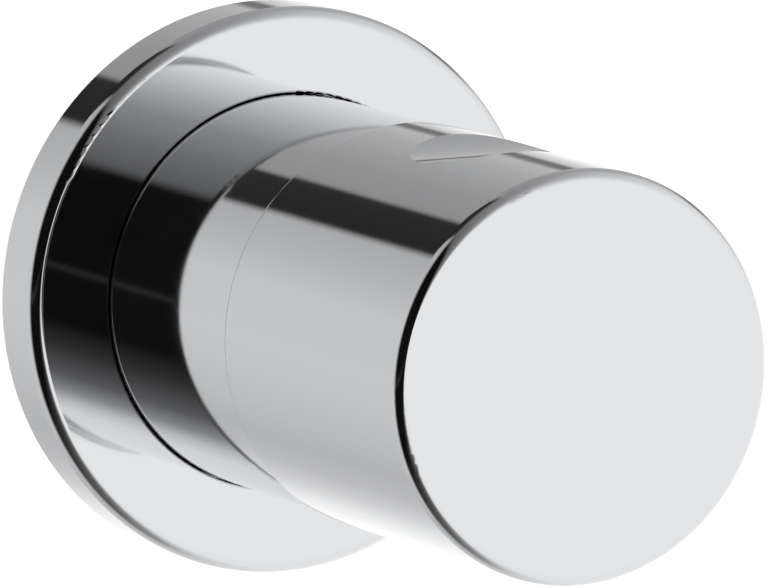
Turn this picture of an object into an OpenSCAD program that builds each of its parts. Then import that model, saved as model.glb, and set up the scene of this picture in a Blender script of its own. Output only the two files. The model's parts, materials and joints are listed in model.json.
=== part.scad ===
// Concealed quarter-turn stop valve with its round wall trim.
// The finished wall is the plane Y = 0. The valve's axis runs along Y: the handle stands out
// towards -Y, and the valve body lies in the wall, towards +Y. +Z is up.
// Turned pieces are drawn as half sections: first the radius, then the height over the wall.
// A height below zero is a depth in the wall.

/* [Wall plate] */
// Diameter of the wall plate
plate_d = 70; // [64:1:90]
// Height of the plate's front face over the wall
plate_h = 8; // [7.5:0.5:11]
// Thickness of the plate's front
plate_front_t = 2; // [1.6:0.1:2.6]
// Thickness of the plate's rim
plate_rim_t = 2.4; // [2:0.1:3]
// Rounding of the plate's front edge
plate_edge_r = 1.6; // [0.6:0.1:1.9]
// Rounding of the plate's edge round the sleeve
plate_hole_edge_r = 0.3; // [0.1:0.05:0.5]
// Wall of the hub that slides on the sleeve
plate_hub_t = 3.4; // [3.2:0.1:4]
// Thickness of the foam gasket between the hub and the wall
foam_t = 2; // [1.4:0.1:2.2]

/* [Trim sleeve] */
// Diameter of the trim sleeve
sleeve_d = 48.8; // [46:0.2:49.4]
// Wall of the trim sleeve
sleeve_t = 1.5; // [1.2:0.1:2]
// Length of sleeve that shows in front of the plate
sleeve_show = 31.6; // [24:0.2:45]
// Length of sleeve behind the finished wall
sleeve_behind = 6; // [3:0.5:12]
// Rounding of the sleeve's front edge
sleeve_edge_r = 0.6; // [0.2:0.1:0.9]

/* [Handle] */
// Diameter of the handle
handle_d = 50; // [49:0.5:58]
// Length of the handle
handle_l = 45; // [40:0.5:60]
// Wall of the handle's side
handle_t = 3; // [2.6:0.1:3.4]
// Thickness of the handle's front
handle_front_t = 4; // [3:0.5:6]
// Rounding of the handle's front edge
handle_edge_r = 1.4; // [0.4:0.1:2.4]
// Rounding of the handle's rear edge
handle_rear_r = 0.5; // [0.2:0.1:0.9]
// Gap between the sleeve and the handle
handle_gap = 0.4; // [0.35:0.05:1]
// Radius of the finger that the dimple fits
dimple_r = 21; // [16:0.5:28]
// Depth of the dimple
dimple_depth = 1.7; // [0.8:0.1:2]
// Distance from the handle's rear edge to the dimple's middle
dimple_at = 20; // [18:0.5:24]

/* [Valve body] */
// Depth of the pipe line behind the finished wall
pipe_depth = 52; // [49:1:80]
// Distance from the valve's axis to each port's mouth
port_reach = 34; // [32:1:45]
// Outer radius of the ports' thread, G 1/2
port_r = 10.5; // [10:0.1:10.8]
// Depth of the ports' thread
port_thread_l = 14; // [12:0.5:15]
// Width across the flats of the ports' hexagons
port_flats = 28; // [26:0.5:32]
// Length of each hexagon
port_hex_l = 11; // [8:0.5:12]
// Outer radius of the round stems between the body and the hexagons
port_stem_r = 13; // [12.4:0.1:13.6]
// Outer radius of the body round the chamber
body_r = 18.5; // [18:0.5:22]
// Radius of the body's neck thread
neck_r = 17; // [16:0.2:17.4]
// Length of the neck above the body's shoulder
neck_l = 15; // [13:0.5:18]
// Distance of each fixing lug's hole from the axis
lug_reach = 27; // [26:0.5:34]
// Radius of the lugs' screw holes
lug_hole_r = 2.75; // [2:0.05:3.3]
// Thickness of the lugs
lug_t = 6; // [4:0.5:8]

/* [Headwork] */
// Radius of the headwork's thread in the body
headwork_r = 10.25; // [9.9:0.05:11]
// Width across the flats of the headwork's hexagon
headwork_flats = 22; // [20:0.5:24]
// Height of the hexagon
headwork_hex_h = 6; // [4:0.5:7]
// Length of the headwork's neck over the hexagon
headwork_neck_l = 10; // [9:0.5:12]
// Radius of the headwork's neck
headwork_neck_r = 7.5; // [7.2:0.1:8.5]
// Radius of the spindle
spindle_r = 4.95; // [4.8:0.05:5.1]
// Radius of the two ceramic discs
disc_r = 7.6; // [7.2:0.1:7.8]
// Thickness of each ceramic disc
disc_t = 3; // [2.4:0.1:3.4]
// Angle of each water window in the discs
window_deg = 78; // [50:1:84]
// Quarter turn from shut to open
turn_deg = 90; // [60:1:100]

/* [Extension] */
// Teeth of the spindle's spline
spline_teeth = 20; // [16:1:24]
// Outer radius of the spindle's spline
spline_r = 4; // [3.8:0.1:4.2]
// Outer radius of the extension's shaft
extension_r = 5.5; // [5:0.1:6]
// Outer radius of the extension's front spline
front_spline_r = 6; // [5.8:0.1:6.6]
// Radius of the long screw
screw_r = 2; // [1.6:0.1:2.1]
// Radius of the grub screw
grub_r = 2.5; // [2:0.1:3]

/* [Carrier tube and seals] */
// Gap between the carrier tube and the trim sleeve
carrier_play = 0.7; // [0.5:0.05:1.2]
// Ledge in the carrier tube that presses the flat seal on the body's neck
carrier_ledge = 1; // [0.6:0.1:2]
// Distance of the carrier tube's front end behind the sleeve's
carrier_back = 6.6; // [2:0.2:14]
// Depth of the O-ring grooves in the carrier tube
carrier_groove = 1.6; // [1.2:0.1:1.8]

/* [Hidden] */
$fn = 96;

// Clearances: a running fit, a fit that slides together, and air round what turns
run_fit = 0.05;
slide_fit = 0.1;
air = 0.4;
// Hair of room between faces that would only touch
line_fit = 0.02;
// Extra length of a cutter, so that it passes through the face it cuts
over = 1;
// Small break on turned edges
chamfer = 0.5;
// What an O-ring's groove is wider than its cord
groove_play = 0.5;

// Wall plate, sleeve and handle
plate_r = plate_d / 2;
sleeve_r = sleeve_d / 2;
sleeve_bore_r = sleeve_r - sleeve_t;
sleeve_front = plate_h + sleeve_show;
plate_hole_r = sleeve_r + slide_fit;
plate_hub_r = plate_hole_r + plate_hub_t;
plate_inner_h = plate_h - plate_front_t;
plate_o_cord = 2.2;
plate_groove_w = plate_o_cord + groove_play;
plate_groove_under = 0.4;
plate_o_at = plate_inner_h - plate_groove_under - plate_groove_w / 2;
handle_r = handle_d / 2;
handle_rear = sleeve_front + handle_gap;
handle_front = handle_rear + handle_l;
handle_bore_r = handle_r - handle_t;
dimple_mid = handle_rear + dimple_at;

// Adapter, set against a shoulder in the handle
adapter_l = 10;
adapter_in = 10;
adapter_rear = handle_rear + adapter_in;
adapter_hub_behind = 2;
adapter_front = adapter_rear + adapter_l;
adapter_r = handle_bore_r - run_fit;
adapter_rim_t = 3.2;
adapter_hub_r = 9.5;
adapter_web_t = 3;
adapter_ribs = 6;
adapter_rib_t = 2;
shoulder_w = 2;
cavity_r = handle_bore_r - shoulder_w;
cavity_front = handle_front - handle_front_t;
grub_at = adapter_rear + adapter_l / 2;
grub_tip = adapter_r - adapter_rim_t;
cap_t = 0.9;
cap_top = sqrt(pow(handle_r, 2) - pow(grub_r, 2));
grub_head = cap_top - cap_t;
grub_hex_flats = 2.5;
grub_hex_depth = 2;

// Valve body: heights over and under the pipe line, and over the seat
body_floor = 17;
body_edge_r = 3;
body_shoulder = port_stem_r + chamfer;
body_bottom = -pipe_depth - body_floor;
shoulder_at = -pipe_depth + body_shoulder;
neck_top = shoulder_at + neck_l;
seat_over_pipe = 2;
seat_at = -pipe_depth + seat_over_pipe;
seat_bore_r = 6;
seat_depth = 11;
chamber_r = 11.5;
under_socket = 5;
socket_l = neck_l - under_socket;
inlet_r = 4.2;
inlet_under_seat = 7;
inlet_at = seat_at - inlet_under_seat;
outlet_r = 3.4;
outlet_over_seat = 3.5;
outlet_at = seat_at + outlet_over_seat;
lug_r = 7;
lug_top = -pipe_depth + lug_t / 2;

// Headwork, measured from the neck's top upwards and down to the seat
flange_r = 12.5;
flange_t = 2;
hex_bottom = neck_top + flange_t;
hex_top = hex_bottom + headwork_hex_h;
housing_top = hex_top + headwork_neck_l;
gasket_t = 1.6;
gasket_proud = 0.6;
housing_bottom = seat_at + gasket_proud;
fixed_bottom = seat_at + gasket_t;
fixed_top = fixed_bottom + disc_t;
turning_top = fixed_top + disc_t;
disc_bore_r = disc_r + air;
skirt_t = 1.4;
skirt_r = disc_bore_r + skirt_t;
window_w = 8;
seal_cord = 1.1;
seal_under_neck = 1.05;
seal_at = neck_top - seal_under_neck;
seal_groove_w = 1.7;
spindle_bore_r = spindle_r + run_fit;
spindle_flange_r = 6.9;
spindle_flange_t = 2;
washer_t = 1;
washer_at = turning_top + spindle_flange_t;
cavity_top = washer_at + washer_t;
flange_bore_r = spindle_flange_r + air;
window_rim = 1.5;
window_land = 1.9;
tab_w = 3;
tab_l = 9.6;
tab_h = 1.4;
spindle_o_cord = 1.35;
spindle_groove_r = spindle_r - spindle_o_cord;
spindle_groove_w = 2;
spindle_o_pitch = 5;
spindle_o_under = 3;
spindle_o_first = neck_top - spindle_o_under;
spindle_o_at = [spindle_o_first, spindle_o_first + spindle_o_pitch];
crown_h = 2;
crown_t = 1.2;
stop_lug_deg = 36;
stop_play_deg = 2;
ring_t = 1.2;
stop_ring_r = headwork_neck_r - crown_t - air;
flat_cut = 0.75;
ring_flat = spindle_r - flat_cut;
clip_t = 0.8;
clip_groove_depth = 0.7;
clip_groove_r = spindle_r - clip_groove_depth;
clip_r = stop_ring_r;
clip_gap_deg = 70;
clip_play = 0.1;
clip_at = housing_top + ring_t + clip_play;
spline_depth = 0.45;
spline_bottom = clip_at + clip_t + air;
spline_l = 8;
spline_top = spline_bottom + spline_l;

// Extension and its long screw
socket_r = 7;
extension_rear = spline_bottom + air;
extension_socket_l = 10.5;
socket_front = extension_rear + extension_socket_l;
front_spline_teeth = 24;
front_spline_l = 9;
extension_front = adapter_front - adapter_web_t;
screw_bore_r = screw_r + 2 * slide_fit;
screw_head_r = 3.5;
screw_head_h = 3;
screw_hex_flats = 3;
screw_hex_depth = 1.8;
screw_bite = 12;
screw_tip = spline_top - screw_bite;

// Carrier tube and seals
carrier_r = sleeve_bore_r - carrier_play;
carrier_bore_r = neck_r - carrier_ledge;
carrier_front = sleeve_front - carrier_back;
carrier_rear = shoulder_at + chamfer;
carrier_wall = 2.6;
carrier_rear_r = neck_r + carrier_wall;
carrier_step = -2;
tube_seal_t = 1.5;
tube_seal_bore_r = flange_r + 2 * air;
o_squash = 0.04;
carrier_groove_r = carrier_r - carrier_groove;
sleeve_o_cord = sleeve_bore_r - carrier_groove_r - o_squash;
carrier_groove_w = sleeve_o_cord + groove_play;
rear_o_under_plate = 3;
front_o_in_tube = 5;
sleeve_o_at = [plate_h - rear_o_under_plate, carrier_front - front_o_in_tube];
gasket_r = plate_r - plate_rim_t - slide_fit;
gasket_bore_r = plate_hole_r + air;

// Stands a turned piece on the valve's axis, with its heights towards the room
module on_axis() {
    rotate([90, 0, 0]) children();
}

// Ring between two heights, with a bore
module ring(r, bore, from, to) {
    difference() {
        translate([0, 0, from]) cylinder(r = r, h = to - from);
        translate([0, 0, from - over]) cylinder(r = bore, h = to - from + 2 * over);
    }
}

module rod(r, from, to) {
    translate([0, 0, from]) cylinder(r = r, h = to - from);
}

// What a rounded edge takes off a half section, at radius r and height at.
// up is 1 for an edge that looks to the room, and -1 for one that looks to the wall.
module edge_waste(r, at, edge_r, up = 1) {
    translate([r - edge_r, at - up * edge_r])
        mirror([0, up > 0 ? 0 : 1])
            difference() {
                square(edge_r + over);
                circle(r = edge_r);
            }
}

// The same for the edge of a hole that looks to the room
module hole_edge_waste(r, at, edge_r) {
    translate([r + edge_r, at - edge_r])
        mirror([1, 0])
            difference() {
                square(edge_r + over);
                circle(r = edge_r);
            }
}

// Hexagon prism by its width across the flats
module hexagon(flats, from, to) {
    translate([0, 0, from])
        linear_extrude(to - from) circle(d = flats / cos(30), $fn = 6);
}

// Toothed outline of a spline: each tooth has two corners at its tip and two at its root
module spline_outline(r, depth, teeth) {
    step = 360 / teeth;
    polygon([for (i = [0 : teeth - 1], c = [[0, 0], [0.12, 1], [0.5, 1], [0.62, 0]])
        let (a = (i + c[0]) * step, q = r - (1 - c[1]) * depth) [q * cos(a), q * sin(a)]]);
}

module spline(r, depth, teeth, from, to) {
    translate([0, 0, from]) linear_extrude(to - from) spline_outline(r, depth, teeth);
}

// Round seal, by its inner and outer radius
module o_ring(inner, outer, at) {
    rotate_extrude() translate([(inner + outer) / 2, at]) circle(d = outer - inner);
}

// Sector of a ring, from angle a over the given width
module sector(r, bore, from, to, a, width) {
    rotate([0, 0, a])
        translate([0, 0, from])
            rotate_extrude(angle = width) translate([bore, 0]) square([r - bore, to - from]);
}

// Two water windows across from each other out to radius r, the first one centred on angle a
module windows(r, from, to, a) {
    for (turn = [0, 180])
        sector(r, window_land, from, to, a + turn - window_deg / 2, window_deg);
}

// Round wall plate: a turned shell with a hub that grips the sleeve
module wall_plate() {
    color("gainsboro") on_axis() rotate_extrude() difference() {
        translate([plate_hole_r, 0]) square([plate_r - plate_hole_r, plate_h]);
        // hollow behind the front, between the rim and the hub
        translate([plate_hub_r, -over])
            square([plate_r - plate_rim_t - plate_hub_r, plate_inner_h + over]);
        // the hub stops short of the wall
        translate([plate_hole_r - over, -over])
            square([plate_hub_t + over + line_fit, foam_t + over]);
        // groove of the O-ring
        translate([plate_hole_r - over, plate_o_at - plate_groove_w / 2])
            square([plate_o_cord + over, plate_groove_w]);
        edge_waste(plate_r, plate_h, plate_edge_r);
        hole_edge_waste(plate_hole_r, plate_h, plate_hole_edge_r);
    }
}

module plate_o_ring() {
    color("dimgray") on_axis() o_ring(sleeve_r + line_fit, sleeve_r + plate_o_cord, plate_o_at);
}

// Foam ring that seals the plate to the wall, inside the rim and under the hub
module wall_gasket() {
    color("darkslategray") on_axis() ring(gasket_r, gasket_bore_r, 0, foam_t);
}

// Turned tube that shows between the plate and the handle
module trim_sleeve() {
    color("silver") on_axis() rotate_extrude() difference() {
        translate([sleeve_bore_r, -sleeve_behind]) square([sleeve_t, sleeve_front + sleeve_behind]);
        edge_waste(sleeve_r, sleeve_front, sleeve_edge_r);
    }
}

// Handle: a cast cup, turned outside, with a finger dimple milled across its top
module handle() {
    color("whitesmoke") on_axis() difference() {
        rotate_extrude() difference() {
            translate([0, handle_rear]) square([handle_r, handle_l]);
            translate([-over, handle_rear - over])
                square([handle_bore_r + over, adapter_front - handle_rear + over]);
            translate([-over, adapter_front - over])
                square([cavity_r + over, cavity_front - adapter_front + over]);
            edge_waste(handle_r, handle_front, handle_edge_r);
            edge_waste(handle_r, handle_rear, handle_rear_r, -1);
        }
        // the dimple is the mark of a cylinder that lies across the handle
        translate([0, handle_r - dimple_depth + dimple_r, dimple_mid])
            rotate([0, 90, 0]) cylinder(r = dimple_r, h = handle_d, center = true, $fn = 180);
        // threaded hole of the grub screw, from below
        translate([0, 0, grub_at])
            rotate([90, 0, 0]) rod(grub_r, cavity_r - over, handle_r + over);
    }
}

// Moulded hub: a splined middle, spokes and a rim that fits the handle's bore
module handle_adapter() {
    color("black") on_axis() difference() {
        union() {
            ring(adapter_r, adapter_r - adapter_rim_t, adapter_rear, adapter_front);
            rod(adapter_hub_r, adapter_rear - adapter_hub_behind, adapter_front);
            for (i = [0 : adapter_ribs - 1])
                rotate([0, 0, i * 360 / adapter_ribs])
                    translate([adapter_hub_r - over, -adapter_rib_t / 2, adapter_rear])
                        cube([adapter_r - adapter_rim_t / 2 - adapter_hub_r + over,
                            adapter_rib_t, adapter_l - chamfer]);
        }
        spline(front_spline_r + run_fit, spline_depth, front_spline_teeth,
            adapter_rear - adapter_hub_behind - over, extension_front + line_fit);
        rod(screw_bore_r, extension_front - over, adapter_front + over);
        // hole in the rim that the grub screw locks into
        translate([0, 0, grub_at])
            rotate([90, 0, 0]) rod(grub_r + slide_fit, grub_tip - over, adapter_r + over);
    }
}

// Long screw through the adapter and the extension into the spindle
module spindle_screw() {
    color("lightgray") on_axis() difference() {
        union() {
            rod(screw_r - run_fit, screw_tip, adapter_front + chamfer);
            rod(screw_head_r, adapter_front, adapter_front + screw_head_h);
        }
        hexagon(screw_hex_flats, adapter_front + screw_head_h - screw_hex_depth,
            adapter_front + screw_head_h + over);
    }
}

// Set screw that locks the handle on the adapter
module grub_screw() {
    color("slategray") on_axis() translate([0, 0, grub_at]) rotate([90, 0, 0]) difference() {
        rod(grub_r - run_fit, grub_tip, grub_head);
        hexagon(grub_hex_flats, grub_head - grub_hex_depth, grub_head + over);
    }
}

// Cap that closes the grub screw's hole, flush with the handle at the hole's edge
module screw_cap() {
    color("silver") on_axis() translate([0, 0, grub_at]) rotate([90, 0, 0])
        rod(grub_r - line_fit, grub_head, cap_top);
}

// Extension from the headwork's spindle to the handle, with a spline at each end
module extension_spindle() {
    color("goldenrod") on_axis() difference() {
        union() {
            rod(socket_r, extension_rear, socket_front);
            rod(extension_r, extension_rear, extension_front - front_spline_l + over);
            spline(front_spline_r, spline_depth, front_spline_teeth,
                extension_front - front_spline_l, extension_front);
        }
        spline(spline_r + run_fit, spline_depth, spline_teeth,
            extension_rear - over, spline_top + air);
        rod(screw_bore_r, spline_top - over, extension_front + over);
    }
}

// Cast brass body: two ports in line, the chamber, the neck and two fixing lugs
module valve_body() {
    color("peru") on_axis() difference() {
        union() {
            rotate_extrude() difference() {
                translate([0, body_bottom]) square([body_r, shoulder_at - body_bottom]);
                edge_waste(body_r, body_bottom, body_edge_r, -1);
                edge_waste(body_r, shoulder_at, chamfer);
            }
            rod(neck_r, shoulder_at - over, neck_top);
            for (side = [-1, 1]) {
                translate([0, 0, -pipe_depth]) rotate([0, side * 90, 0]) {
                    rod(port_stem_r, 0, port_reach - over);
                    hexagon(port_flats, port_reach - port_hex_l, port_reach);
                }
                translate([0, 0, lug_top - lug_t]) linear_extrude(lug_t) {
                    translate([0, side * lug_reach]) circle(r = lug_r);
                    translate([-lug_r, side > 0 ? 0 : -lug_reach]) square([2 * lug_r, lug_reach]);
                }
            }
        }
        // headwork socket, chamber and seat bore
        rod(headwork_r + run_fit, neck_top - socket_l - over, neck_top + over);
        rod(chamber_r, seat_at, neck_top - socket_l);
        rod(seat_bore_r, seat_at - seat_depth, seat_at + over);
        for (side = [-1, 1]) {
            translate([0, 0, -pipe_depth]) rotate([0, side * 90, 0])
                rod(port_r, port_reach - port_thread_l, port_reach + over);
            translate([0, side * lug_reach, lug_top - lug_t])
                rod(lug_hole_r, -over, lug_t + over);
        }
        // water way in, under the seat, and water way out, over it
        translate([0, 0, inlet_at]) rotate([0, -90, 0])
            rod(inlet_r, 0, port_reach - port_thread_l + over);
        translate([0, 0, outlet_at]) rotate([0, 90, 0])
            rod(outlet_r, chamber_r - over, port_reach - port_thread_l + over);
    }
}

// Housing of the quarter-turn headwork: thread, flange, hexagon and neck in one turned piece
module headwork_housing() {
    color("darkgoldenrod") on_axis() difference() {
        union() {
            rod(skirt_r, housing_bottom, neck_top - socket_l + over);
            rod(headwork_r, neck_top - socket_l, neck_top);
            rod(flange_r, neck_top, hex_bottom);
            hexagon(headwork_flats, hex_bottom, hex_top);
            rod(headwork_neck_r, hex_top - over, housing_top);
            // crown that ends the turn: a part ring that leaves room for the stop ring's lug
            sector(headwork_neck_r, headwork_neck_r - crown_t, housing_top - over,
                housing_top + crown_h, turn_deg + stop_lug_deg / 2 + stop_play_deg,
                360 - turn_deg - stop_lug_deg - 2 * stop_play_deg);
        }
        rod(disc_bore_r, housing_bottom - over, turning_top + air);
        rod(flange_bore_r, turning_top - over, cavity_top);
        rod(spindle_bore_r, cavity_top - over, housing_top + over);
        // groove of the seal under the flange
        ring(headwork_r + over, headwork_r - seal_cord, seal_at - seal_groove_w / 2,
            seal_at + seal_groove_w / 2);
        // side windows that let the water out over the discs
        for (side = [0, 180])
            rotate([0, 0, side]) translate([0, -window_w / 2, fixed_top + air])
                cube([chamber_r, window_w, cavity_top - fixed_top - 2 * air]);
    }
}

module headwork_seal() {
    color("black") on_axis()
        o_ring(headwork_r - seal_cord + line_fit, headwork_r + line_fit, seal_at);
}

// Ceramic disc that stays: two windows and a centre land
module fixed_disc() {
    color("ivory") on_axis() difference() {
        rod(disc_bore_r - run_fit, fixed_bottom, fixed_top);
        windows(disc_r - window_rim, fixed_bottom - over, fixed_top + over, 0);
    }
}

// Ceramic disc that turns: its two notches lie across the fixed windows when shut, and let
// the water out to the sides when open
module turning_disc() {
    color("white") on_axis() difference() {
        rod(disc_r, fixed_top, turning_top);
        windows(disc_r + over, fixed_top - over, turning_top + over, turn_deg);
        translate([-tab_l / 2 - slide_fit, -tab_w / 2 - slide_fit, turning_top - tab_h - slide_fit])
            cube([tab_l + 2 * slide_fit, tab_w + 2 * slide_fit, tab_h + over]);
    }
}

// Flat rubber ring between the fixed disc and the seat
module seat_gasket() {
    color("black") on_axis() ring(disc_bore_r - run_fit, seat_bore_r + air, seat_at, fixed_bottom);
}

// Slippery washer between the spindle's flange and the housing
module glide_washer() {
    color("wheat") on_axis()
        ring(spindle_flange_r, spindle_bore_r, washer_at, cavity_top);
}

// Spindle: drive tab, flange, two seal grooves, flats for the stop ring, clip groove and spline
module spindle() {
    color("gold") on_axis() difference() {
        union() {
            translate([-tab_l / 2, -tab_w / 2, turning_top - tab_h]) cube([tab_l, tab_w, tab_h + over]);
            rod(spindle_flange_r, turning_top, washer_at);
            rod(spindle_r, washer_at - over, spline_bottom);
            spline(spline_r, spline_depth, spline_teeth, spline_bottom - over, spline_top);
        }
        for (at = spindle_o_at)
            ring(spindle_r + over, spindle_groove_r, at - spindle_groove_w / 2,
                at + spindle_groove_w / 2);
        ring(spindle_r + over, clip_groove_r, clip_at, clip_at + clip_t);
        for (side = [-1, 1])
            translate([-spindle_r - over, side > 0 ? ring_flat : -ring_flat - 2 * over, housing_top])
                cube([2 * (spindle_r + over), 2 * over, spline_bottom - housing_top + over]);
        rod(screw_r, screw_tip - over, spline_top + over);
    }
}

module spindle_o_rings() {
    color("black") on_axis() for (at = spindle_o_at)
        o_ring(spindle_groove_r + line_fit, spindle_r + line_fit, at);
}

// Stop ring: keyed on the spindle's flats, with a lug that runs between the crown's ends
module stop_ring() {
    color("lightsteelblue") on_axis() difference() {
        union() {
            rod(stop_ring_r, housing_top, housing_top + ring_t);
            sector(headwork_neck_r - slide_fit, stop_ring_r - air, housing_top, housing_top + ring_t,
                -stop_lug_deg / 2, stop_lug_deg);
        }
        intersection() {
            rod(spindle_r + run_fit, housing_top - over, housing_top + ring_t + over);
            translate([-spindle_r - over, -ring_flat - run_fit, housing_top - 2 * over])
                cube([2 * (spindle_r + over), 2 * (ring_flat + run_fit), ring_t + 4 * over]);
        }
    }
}

// Spring clip that keeps the spindle in the housing
module retaining_ring() {
    color("gray") on_axis()
        sector(clip_r, clip_groove_r + line_fit, clip_at + line_fit, clip_at + clip_t - line_fit,
            -90 + clip_gap_deg / 2, 360 - clip_gap_deg);
}

// Tube on the body's neck that carries the trim
module carrier_tube() {
    color("lightyellow") on_axis() difference() {
        union() {
            rod(carrier_rear_r, carrier_rear, carrier_step + over);
            rod(carrier_r, carrier_step, carrier_front);
        }
        rod(neck_r + run_fit, carrier_rear - over, neck_top + tube_seal_t);
        rod(carrier_bore_r, neck_top, carrier_front + over);
        for (at = sleeve_o_at)
            ring(carrier_r + over, carrier_groove_r, at - carrier_groove_w / 2,
                at + carrier_groove_w / 2);
    }
}

module tube_seal() {
    color("dimgray") on_axis()
        ring(neck_r, tube_seal_bore_r, neck_top, neck_top + tube_seal_t);
}

module sleeve_o_rings() {
    color("black") on_axis() for (at = sleeve_o_at)
        o_ring(carrier_groove_r + o_squash / 2, sleeve_bore_r - o_squash / 2, at);
}

valve_body();
headwork_housing();
headwork_seal();
fixed_disc();
turning_disc();
seat_gasket();
glide_washer();
spindle();
spindle_o_rings();
stop_ring();
retaining_ring();
carrier_tube();
tube_seal();
sleeve_o_rings();
trim_sleeve();
wall_plate();
plate_o_ring();
wall_gasket();
extension_spindle();
handle_adapter();
spindle_screw();
handle();
grub_screw();
screw_cap();
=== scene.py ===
# %% [markdown]
# # A concealed stop valve, dressed for its photograph
# The real thing is a quarter-turn valve that sits in a bathroom wall. Only three pieces show in
# the room: a round plate, a short sleeve and a handle like a cup, all chrome-plated brass.
# The frame holds every piece at its true size, in metres. The finished wall is the plane Y = 0,
# the handle stands out towards -Y, and +Z is up. This script gives the pieces their finishes,
# adds the threads that the frame leaves plain, and builds a studio and a camera round them.

# %% Load the frame
import json
import math

import bmesh
import bpy
from mathutils import Matrix, Vector


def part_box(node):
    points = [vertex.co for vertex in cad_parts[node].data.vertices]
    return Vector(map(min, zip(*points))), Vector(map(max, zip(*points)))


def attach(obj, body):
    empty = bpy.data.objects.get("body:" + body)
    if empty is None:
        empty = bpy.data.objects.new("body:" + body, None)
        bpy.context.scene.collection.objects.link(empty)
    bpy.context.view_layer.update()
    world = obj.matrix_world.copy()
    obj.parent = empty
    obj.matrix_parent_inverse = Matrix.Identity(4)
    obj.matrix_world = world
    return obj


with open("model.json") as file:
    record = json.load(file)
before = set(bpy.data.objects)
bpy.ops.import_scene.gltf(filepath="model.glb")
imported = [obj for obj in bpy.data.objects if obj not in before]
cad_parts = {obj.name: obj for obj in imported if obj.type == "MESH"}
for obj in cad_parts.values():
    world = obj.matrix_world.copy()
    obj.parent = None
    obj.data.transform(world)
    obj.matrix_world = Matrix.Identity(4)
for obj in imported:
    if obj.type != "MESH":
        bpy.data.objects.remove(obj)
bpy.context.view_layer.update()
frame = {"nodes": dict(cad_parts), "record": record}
nodes = frame["nodes"]
MM = 0.001
print("pieces in the frame:", len(nodes))

# %% [markdown]
# ## Two helpers for materials
# Colours are picked as hex values, as in a paint program, so they are sRGB. Blender's shaders
# count light, so each value is turned linear once, here. A material is a small tree of nodes,
# and one helper that adds a node with its settings and its links keeps each tree readable.

# %% Colour and node helpers
def linear(hex_colour):
    """An sRGB hex colour as linear red, green, blue and alpha."""
    parts = [int(hex_colour[i:i + 2], 16) / 255 for i in (1, 3, 5)]
    return [p / 12.92 if p <= 0.04045 else ((p + 0.055) / 1.055) ** 2.4 for p in parts] + [1.0]


def add(tree, kind, settings=None, inputs=None):
    """Adds one node: settings are its own, and each input is a value or another node's output."""
    made = tree.nodes.new(kind)
    for name, value in (settings or {}).items():
        setattr(made, name, value)
    for name, value in (inputs or {}).items():
        socket = made.inputs[name]
        if isinstance(value, bpy.types.NodeSocket):
            tree.links.new(value, socket)
        else:
            socket.default_value = value
    return made


def new_material(name):
    """An empty node material, with its tree and a Texture Coordinate's Object output."""
    material = bpy.data.materials.new(name)
    material.use_nodes = True
    tree = material.node_tree
    tree.nodes.clear()
    where = add(tree, "ShaderNodeTexCoord").outputs["Object"]
    return material, tree, where


def finish_material(material, tree, shader):
    """Links the shader to the material's output and reports it."""
    add(tree, "ShaderNodeOutputMaterial", inputs={"Surface": shader.outputs[0]})
    print("material:", material.name, "with", len(tree.nodes), "nodes")
    return material


print("chrome's hex e4e5e7 is linear", [round(v, 3) for v in linear("#e4e5e7")[:3]])

# %% [markdown]
# ## Chrome-plated brass
# The plate, the sleeve and the handle are turned brass, polished, nickel-plated and then
# chrome-plated. What the eye gets is a mirror with a faint cool tint, which a wiping cloth has
# dulled a little here and there. The shape comes from reflections alone, so the surface is kept
# almost clean: a noise with spots of about 6 mm moves the roughness by a hundredth or two.

# %% Chrome-plated brass
def chrome_plated_brass():
    material, tree, where = new_material("chrome_plated_brass_polished")
    wiped = add(tree, "ShaderNodeTexNoise", inputs={
        "Vector": where, "Scale": 1 / (6 * MM), "Detail": 3.0, "Roughness": 0.6})
    rough = add(tree, "ShaderNodeMapRange", inputs={
        "Value": wiped.outputs["Fac"], "From Min": 0.3, "From Max": 0.7,
        "To Min": 0.045, "To Max": 0.065})
    shader = add(tree, "ShaderNodeBsdfPrincipled", inputs={
        "Base Color": linear("#e4e5e7"), "Metallic": 1.0,
        "Roughness": rough.outputs["Result"]})
    return finish_material(material, tree, shader)


chrome = chrome_plated_brass()

# %% [markdown]
# ## Cast and turned brass
# The valve body is hot-pressed in a die and shot-blasted, which leaves a fine, even grain of
# about 0.4 mm and a dull yellow that darkens in patches. The headwork, its spindle and the
# extension are turned from bar: a brighter brass whose tool left rings round the axis, with a
# pitch of about 0.2 mm. They are drawn at 0.6 mm, because finer rings wouldn't show.

# %% Cast brass
def cast_brass():
    material, tree, where = new_material("cast_brass_shot_blasted")
    patches = add(tree, "ShaderNodeTexNoise", inputs={
        "Vector": where, "Scale": 1 / (14 * MM), "Detail": 5.0, "Roughness": 0.65})
    colour = add(tree, "ShaderNodeMix", {"data_type": "RGBA"}, {
        "Factor": patches.outputs["Fac"], "A": linear("#8f6f3c"), "B": linear("#c9a566")})
    grain = add(tree, "ShaderNodeTexNoise", inputs={
        "Vector": where, "Scale": 1 / (0.4 * MM), "Detail": 2.0, "Roughness": 0.5})
    rough = add(tree, "ShaderNodeMapRange", inputs={
        "Value": patches.outputs["Fac"], "From Min": 0.3, "From Max": 0.7,
        "To Min": 0.46, "To Max": 0.34})
    bump = add(tree, "ShaderNodeBump", inputs={
        "Strength": 0.5, "Distance": 0.08 * MM, "Height": grain.outputs["Fac"]})
    shader = add(tree, "ShaderNodeBsdfPrincipled", inputs={
        "Base Color": colour.outputs["Result"], "Metallic": 1.0,
        "Roughness": rough.outputs["Result"], "Normal": bump.outputs["Normal"]})
    return finish_material(material, tree, shader)


body_brass = cast_brass()


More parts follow.
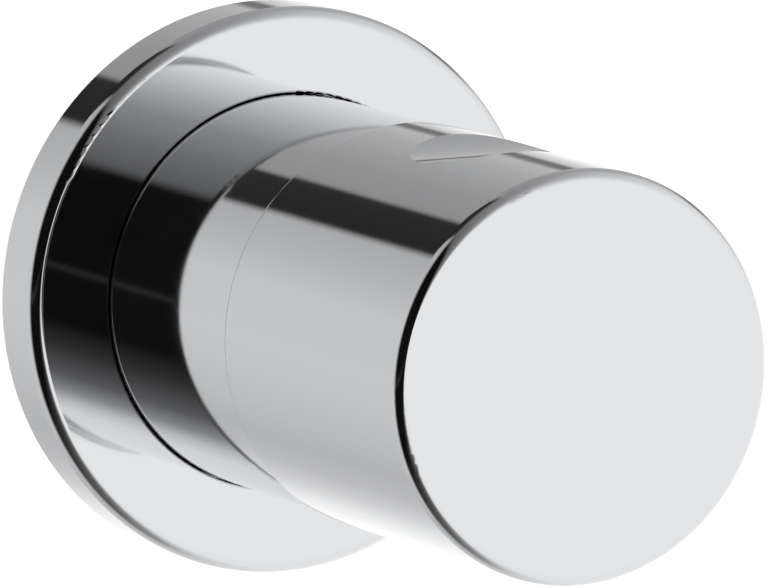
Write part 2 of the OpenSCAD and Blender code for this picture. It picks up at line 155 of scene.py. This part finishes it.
# %% Turned brass
def turned_brass():
    material, tree, where = new_material("free_cutting_brass_turned")
    rings = add(tree, "ShaderNodeTexWave", {"wave_type": "BANDS", "bands_direction": "Y"}, {
        "Vector": where, "Scale": 1 / (20 * 0.6 * MM) * 2 * math.pi, "Distortion": 0.4,
        "Detail": 2.0, "Detail Scale": 2.0})
    spots = add(tree, "ShaderNodeTexNoise", inputs={
        "Vector": where, "Scale": 1 / (5 * MM), "Detail": 4.0})
    colour = add(tree, "ShaderNodeMix", {"data_type": "RGBA"}, {
        "Factor": spots.outputs["Fac"], "A": linear("#b8903f"), "B": linear("#dcb767")})
    bump = add(tree, "ShaderNodeBump", inputs={
        "Strength": 0.35, "Distance": 0.02 * MM, "Height": rings.outputs["Fac"]})
    shader = add(tree, "ShaderNodeBsdfPrincipled", inputs={
        "Base Color": colour.outputs["Result"], "Metallic": 1.0, "Roughness": 0.24,
        "Normal": bump.outputs["Normal"]})
    return finish_material(material, tree, shader)


bar_brass = turned_brass()

# %% [markdown]
# ## Steel, ceramic, plastics and rubber
# These are the pieces that only show with the valve in the open: stainless screws and clips,
# lapped alumina discs, a moulded carrier tube of glass-filled nylon with the fine texture of its
# mould, a black acetal hub, a cream glide washer, nitrile seals and a gasket of closed-cell foam.
# Each gets its own colour, roughness and a surface grain at its true size.

# %% Stainless steel
def stainless_steel():
    material, tree, where = new_material("stainless_steel_plain")
    streaks = add(tree, "ShaderNodeMapping", inputs={
        "Vector": where, "Scale": (1.0, 0.12, 1.0)})
    lines = add(tree, "ShaderNodeTexNoise", inputs={
        "Vector": streaks.outputs["Vector"], "Scale": 1 / (0.5 * MM), "Detail": 3.0})
    rough = add(tree, "ShaderNodeMapRange", inputs={
        "Value": lines.outputs["Fac"], "From Min": 0.3, "From Max": 0.7,
        "To Min": 0.24, "To Max": 0.36})
    shader = add(tree, "ShaderNodeBsdfPrincipled", inputs={
        "Base Color": linear("#b4b5b6"), "Metallic": 1.0, "Roughness": rough.outputs["Result"]})
    return finish_material(material, tree, shader)


steel = stainless_steel()


# %% Moulded, lapped and foamed finishes
def grained(name, dark, light, grain_mm, depth_mm, roughness, spot_mm=8.0, cells=False):
    """A non-metal: two close colours in soft spots, and a bump of grains or of foam cells."""
    material, tree, where = new_material(name)
    spots = add(tree, "ShaderNodeTexNoise", inputs={
        "Vector": where, "Scale": 1 / (spot_mm * MM), "Detail": 4.0, "Roughness": 0.6})
    colour = add(tree, "ShaderNodeMix", {"data_type": "RGBA"}, {
        "Factor": spots.outputs["Fac"], "A": linear(dark), "B": linear(light)})
    kind = "ShaderNodeTexVoronoi" if cells else "ShaderNodeTexNoise"
    grain = add(tree, kind, inputs={"Vector": where, "Scale": 1 / (grain_mm * MM)})
    bump = add(tree, "ShaderNodeBump", inputs={
        "Strength": 0.6, "Distance": depth_mm * MM, "Height": grain.outputs[0]})
    rough = add(tree, "ShaderNodeMapRange", inputs={
        "Value": spots.outputs["Fac"], "From Min": 0.3, "From Max": 0.7,
        "To Min": roughness - 0.04, "To Max": roughness + 0.04})
    shader = add(tree, "ShaderNodeBsdfPrincipled", inputs={
        "Base Color": colour.outputs["Result"], "Roughness": rough.outputs["Result"],
        "Normal": bump.outputs["Normal"]})
    return finish_material(material, tree, shader)


# Alumina is lapped flat, so its grain hardly shows; nylon has its mould's spark texture
alumina = grained("alumina_ceramic_lapped", "#e6e3d8", "#f1efe8", 0.2, 0.004, 0.18)
nylon = grained("glass_filled_nylon_moulded", "#bdbeba", "#cbccc8", 0.35, 0.03, 0.46)
acetal_black = grained("acetal_black_moulded", "#141516", "#1d1e20", 0.35, 0.02, 0.38)
acetal_cream = grained("acetal_natural_moulded", "#dcd4bd", "#e8e2d0", 0.3, 0.01, 0.4)
nitrile = grained("nitrile_rubber_matte", "#121212", "#1c1c1b", 0.25, 0.02, 0.58)
foam = grained("polyethylene_foam_closed_cell", "#232426", "#303235", 0.8, 0.15, 0.85, cells=True)

# %% [markdown]
# ## Each piece gets the finish of its slot
# The record says which material slot each piece of the frame takes. The pieces keep their
# meshes as they are, and only the material in their slots is exchanged.

# %% Assign the finishes
FINISH = {
    "chrome": chrome, "body_brass": body_brass, "turned_brass": bar_brass,
    "ceramic": alumina, "steel": steel, "seal_rubber": nitrile, "foam": foam,
    "glide_plastic": acetal_cream, "tube_plastic": nylon, "adapter_plastic": acetal_black,
}
for part in frame["record"]["subparts"]:
    piece = nodes[part["node"]]
    finish = FINISH[part["material_slot"]]
    if not piece.data.materials:
        piece.data.materials.append(finish)
    for i in range(len(piece.data.materials)):
        piece.data.materials[i] = finish

# %% [markdown]
# ## The pipe threads
# Both ports are tapped G 1/2: 14 threads to the inch, so a pitch of 1.814 mm, cut about 1.16 mm
# deep into the wall. The frame's bores are plain at the thread's outer radius. A thread is one
# profile that follows a spiral, so Geometry Nodes fit: a spiral curve, a triangle swept along
# it, and two copies, one in each port. Sizes are named inputs of the tree.

# %% Thread tree
port_low, port_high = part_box("valve_body")
PORT_MOUTH = port_high.x
PIPE_Y = 52 * MM
THREAD_R = 10.5 * MM
THREAD_PITCH = 1.814 * MM
THREAD_DEPTH = 1.16 * MM
THREAD_LENGTH = 12.5 * MM


def thread_tree():
    """A right-handed inner thread for two ports that face each other along X."""
    tree = bpy.data.node_groups.new("pipe_thread", "GeometryNodeTree")
    tree.interface.new_socket("Geometry", in_out="OUTPUT", socket_type="NodeSocketGeometry")
    for name in ("Radius", "Pitch", "Depth", "Length", "Reach"):
        tree.interface.new_socket(name, in_out="INPUT", socket_type="NodeSocketFloat")
    tree.interface.new_socket("Finish", in_out="INPUT", socket_type="NodeSocketMaterial")
    size = add(tree, "NodeGroupInput").outputs
    turns = add(tree, "ShaderNodeMath", {"operation": "DIVIDE"}, {0: size["Length"], 1: size["Pitch"]})
    spiral = add(tree, "GeometryNodeCurveSpiral", inputs={
        "Resolution": 48, "Rotations": turns.outputs[0], "Start Radius": size["Radius"],
        "End Radius": size["Radius"], "Height": size["Length"]})
    upright = add(tree, "GeometryNodeSetCurveNormal", {"mode": "Z_UP"}, {
        "Curve": spiral.outputs["Curve"]})
    # the profile: a ridge that is as wide as the pitch at its root and stands Depth inwards
    triangle = add(tree, "GeometryNodeCurvePrimitiveCircle", {"mode": "RADIUS"}, {
        "Resolution": 3, "Radius": 1.0})
    half = add(tree, "ShaderNodeMath", {"operation": "MULTIPLY"}, {0: size["Pitch"], 1: 0.5})
    third = add(tree, "ShaderNodeMath", {"operation": "MULTIPLY"}, {0: size["Depth"], 1: 0.62})
    shape = add(tree, "ShaderNodeCombineXYZ", inputs={
        "X": third.outputs[0], "Y": half.outputs[0], "Z": 1.0})
    profile = add(tree, "GeometryNodeTransform", inputs={
        "Geometry": triangle.outputs["Curve"], "Scale": shape.outputs[0]})
    sweep = add(tree, "GeometryNodeCurveToMesh", inputs={
        "Curve": upright.outputs["Curve"], "Profile Curve": profile.outputs["Geometry"],
        "Fill Caps": True})
    start = add(tree, "ShaderNodeMath", {"operation": "SUBTRACT"}, {0: size["Reach"], 1: size["Length"]})
    shift = add(tree, "ShaderNodeCombineXYZ", inputs={"Z": start.outputs[0]})
    along = add(tree, "GeometryNodeTransform", inputs={
        "Geometry": sweep.outputs["Mesh"], "Translation": shift.outputs[0]})
    # two copies, turned from +Z to +X and to -X
    both = add(tree, "GeometryNodeJoinGeometry")
    for turn in (90, -90):
        copy = add(tree, "GeometryNodeTransform", inputs={
            "Geometry": along.outputs["Geometry"], "Rotation": (0, math.radians(turn), 0)})
        tree.links.new(copy.outputs["Geometry"], both.inputs["Geometry"])
    real = add(tree, "GeometryNodeRealizeInstances", inputs={"Geometry": both.outputs["Geometry"]})
    painted = add(tree, "GeometryNodeSetMaterial", inputs={
        "Geometry": real.outputs["Geometry"], "Material": size["Finish"]})
    add(tree, "NodeGroupOutput", inputs={"Geometry": painted.outputs["Geometry"]})
    return tree


print("turns in each port:", round(THREAD_LENGTH / THREAD_PITCH, 1))

# %% Make the threads a plain mesh
def from_tree(name, tree, values, place):
    """Runs a Geometry Nodes tree once and keeps its result as a plain mesh in place."""
    holder = bpy.data.objects.new(name + "_holder", bpy.data.meshes.new(name + "_holder"))
    bpy.context.scene.collection.objects.link(holder)
    modifier = holder.modifiers.new("tree", "NODES")
    modifier.node_group = tree
    for item in tree.interface.items_tree:
        if item.item_type == "SOCKET" and item.in_out == "INPUT":
            modifier[item.identifier] = values[item.name]
    seen = holder.evaluated_get(bpy.context.evaluated_depsgraph_get())
    mesh = bpy.data.meshes.new_from_object(seen)
    mesh.transform(place)
    mesh.name = name
    holder.modifiers.remove(modifier)
    bpy.data.objects.remove(holder)
    made = bpy.data.objects.new(name, mesh)
    bpy.context.scene.collection.objects.link(made)
    mesh.shade_smooth()
    print(name, "has", len(mesh.polygons), "faces")
    return made


port_threads = from_tree("port_threads", thread_tree(), {
    "Radius": THREAD_R, "Pitch": THREAD_PITCH, "Depth": THREAD_DEPTH, "Length": THREAD_LENGTH,
    "Reach": PORT_MOUTH - 0.8 * MM, "Finish": bar_brass}, Matrix.Translation((0, PIPE_Y, 0)))
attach(port_threads, "valve")

# %% [markdown]
# ## The finished wall
# The photograph shows pure white round the plate. A white sheet at the wall's own plane, with
# the round hole that the trim covers, hides the body in the wall as the real wall does. The
# sheet is bright to the camera, keeps a trace of the object's shadow, and is left out from
# behind, so that the concealed pieces can be looked at from there.

# %% Wall sheet
WALL_HALF = 0.45
WALL_HOLE_R = 28 * MM
WALL_Y = 0.3 * MM


def wall_sheet():
    """A square sheet with a round hole, as one ring of faces, facing the room."""
    mesh = bpy.data.meshes.new("finished_wall")
    bm = bmesh.new()
    steps = 96
    hole, edge = [], []
    for i in range(steps):
        a = 2 * math.pi * i / steps
        c, s = math.cos(a), math.sin(a)
        out = WALL_HALF / max(abs(c), abs(s))
        hole.append(bm.verts.new((WALL_HOLE_R * c, WALL_Y, WALL_HOLE_R * s)))
        edge.append(bm.verts.new((out * c, WALL_Y, out * s)))
    for i in range(steps):
        j = (i + 1) % steps
        bm.faces.new((hole[i], edge[i], edge[j], hole[j]))
    for face in bm.faces:
        if face.normal.y > 0 or face.calc_center_median().y < 0:
            face.normal_flip()
    bm.normal_update()
    for face in bm.faces:
        if face.normal.y > 0:
            face.normal_flip()
    bm.to_mesh(mesh)
    bm.free()
    sheet = bpy.data.objects.new("finished_wall", mesh)
    bpy.context.scene.collection.objects.link(sheet)
    return sheet


wall = wall_sheet()
wall_paint, tree, _ = new_material("wall_paint_white")
path = add(tree, "ShaderNodeLightPath")
glow = add(tree, "ShaderNodeEmission", inputs={"Color": (1, 1, 1, 1), "Strength": 0.6})
paint = add(tree, "ShaderNodeBsdfDiffuse", inputs={"Color": linear("#f2f2f2")})
both = add(tree, "ShaderNodeAddShader", inputs={0: glow.outputs[0], 1: paint.outputs[0]})
lit = add(tree, "ShaderNodeMixShader", inputs={
    "Fac": path.outputs["Is Camera Ray"], 1: paint.outputs[0], 2: both.outputs[0]})
side = add(tree, "ShaderNodeNewGeometry")
clear = add(tree, "ShaderNodeBsdfTransparent")
sheet_shader = add(tree, "ShaderNodeMixShader", inputs={
    "Fac": side.outputs["Backfacing"], 1: lit.outputs[0], 2: clear.outputs[0]})
wall.data.materials.append(finish_material(wall_paint, tree, sheet_shader))
wall.visible_glossy = False

# %% [markdown]
# ## The studio
# Polished chrome has no look of its own: it shows the studio. A cylinder seen from one side
# mirrors a cone of directions round its own axis, so the studio is drawn by the angle round
# that axis: one ring of panels behind the valve, which the handle's side mirrors at once, and
# one ring in front of it, which the plate mirrors. Light panels make the long soft fields, and
# a black flag up and behind makes the dark band along the handle. The camera sees plain white,
# and matt surfaces get plain even light.

# %% Studio light
# Angle round the axis in degrees from the right, counterclockwise from the front, and light
BEHIND = [(0, 1.0), (9, 0.80), (17, 0.62), (21, 0.18), (26, 0.20), (30, 0.55), (45, 0.47),
          (60, 0.42), (75, 0.36), (94, 0.33), (97, 0.03), (118, 0.022), (122, 0.50),
          (138, 0.56), (160, 0.68), (195, 0.71), (225, 0.64), (250, 0.56), (266, 0.60),
          (281, 0.75), (296, 0.95), (315, 1.10), (345, 1.10)]
IN_FRONT = [(0, 1.0), (25, 0.88), (50, 0.64), (75, 0.37), (100, 0.23), (119, 0.15),
            (125, 0.004), (183, 0.004), (185.5, 0.035), (188, 0.004), (218, 0.004),
            (235, 0.04), (255, 0.14), (268, 0.34), (278, 0.72), (290, 0.95), (345, 1.0)]
EVEN_LIGHT = 0.9


def ring_of_panels(tree, turn, stops):
    """A colour ramp whose position is the turn round the axis."""
    ramp = add(tree, "ShaderNodeValToRGB", inputs={"Fac": turn})
    points = ramp.color_ramp.elements
    points[0].position, points[-1].position = 0.0, 1.0
    closing = stops + [(360, stops[0][1])]
    while len(points) < len(closing):
        points.new(0.5)
    for point, (angle, light) in zip(points, closing):
        point.position = angle / 360
        point.color = (light, light, light, 1)
    return ramp.outputs["Color"]


def studio():
    world = bpy.data.worlds.new("studio")
    bpy.context.scene.world = world
    world.use_nodes = True
    tree = world.node_tree
    tree.nodes.clear()
    where = add(tree, "ShaderNodeTexCoord").outputs["Generated"]
    axis = add(tree, "ShaderNodeSeparateXYZ", inputs={0: where}).outputs
    angle = add(tree, "ShaderNodeMath", {"operation": "ARCTAN2"}, {0: axis["Z"], 1: axis["X"]})
    turns = add(tree, "ShaderNodeMath", {"operation": "DIVIDE"}, {0: angle.outputs[0], 1: 2 * math.pi})
    turn = add(tree, "ShaderNodeMath", {"operation": "FRACT"}, {0: turns.outputs[0]}).outputs[0]
    behind = add(tree, "ShaderNodeMapRange", {"interpolation_type": "SMOOTHSTEP"}, {
        "Value": axis["Y"], "From Min": -0.2, "From Max": 0.3})
    panels = add(tree, "ShaderNodeMix", {"data_type": "RGBA"}, {
        "Factor": behind.outputs["Result"], "A": ring_of_panels(tree, turn, IN_FRONT),
        "B": ring_of_panels(tree, turn, BEHIND)})
    path = add(tree, "ShaderNodeLightPath").outputs
    matt = add(tree, "ShaderNodeMix", {"data_type": "RGBA"}, {
        "Factor": path["Is Glossy Ray"], "A": (EVEN_LIGHT,) * 3 + (1,),
        "B": panels.outputs["Result"]})
    seen = add(tree, "ShaderNodeMix", {"data_type": "RGBA"}, {
        "Factor": path["Is Camera Ray"], "A": matt.outputs["Result"], "B": (1, 1, 1, 1)})
    sky = add(tree, "ShaderNodeBackground", inputs={"Color": seen.outputs["Result"], "Strength": 1.0})
    add(tree, "ShaderNodeOutputWorld", inputs={"Surface": sky.outputs[0]})
    return world


studio()
print("panels:", len(BEHIND) + len(IN_FRONT))

# %% [markdown]
# ## The camera
# The rings of the plate and of the handle look like ellipses of the same shape, so the
# photograph was taken from far away with a long lens. Fitting those ellipses gave the place:
# 27 degrees to the left of the axis, 9 degrees up, 2 m away.

# %% Camera
SENSOR = 36.0
FRAME_W, FRAME_H = 768, 588
FOCAL_PX = 16279.0
DISTANCE = 2.0
AZIMUTH, ELEVATION = math.radians(-27.325), math.radians(8.725)
# Where the frame's origin falls in the picture
ORIGIN_PX = (258.5, 282.6)

ahead = Vector((-math.sin(AZIMUTH) * math.cos(ELEVATION), math.cos(AZIMUTH) * math.cos(ELEVATION),
                -math.sin(ELEVATION)))
right = Vector((math.cos(AZIMUTH), math.sin(AZIMUTH), 0))
up = right.cross(ahead)
across = (ORIGIN_PX[0] - FRAME_W / 2) * DISTANCE / FOCAL_PX
rise = (FRAME_H / 2 - ORIGIN_PX[1]) * DISTANCE / FOCAL_PX

lens = bpy.data.cameras.new("camera")
lens.sensor_width = SENSOR
lens.lens = FOCAL_PX / FRAME_W * SENSOR
lens.clip_start, lens.clip_end = 0.05, 50
camera = bpy.data.objects.new("camera", lens)
bpy.context.scene.collection.objects.link(camera)
turned = Matrix((right, up, -ahead)).transposed().to_4x4()
camera.matrix_world = Matrix.Translation(-(across * right + rise * up + DISTANCE * ahead)) @ turned
bpy.context.scene.camera = camera
print("lens in mm:", round(lens.lens), "camera at", [round(v, 3) for v in camera.location])

# %% [markdown]
# ## Picture settings and the end
# The Standard view shows a colour as it is written.

# %% Finish
bpy.context.scene.view_settings.view_transform = "Standard"
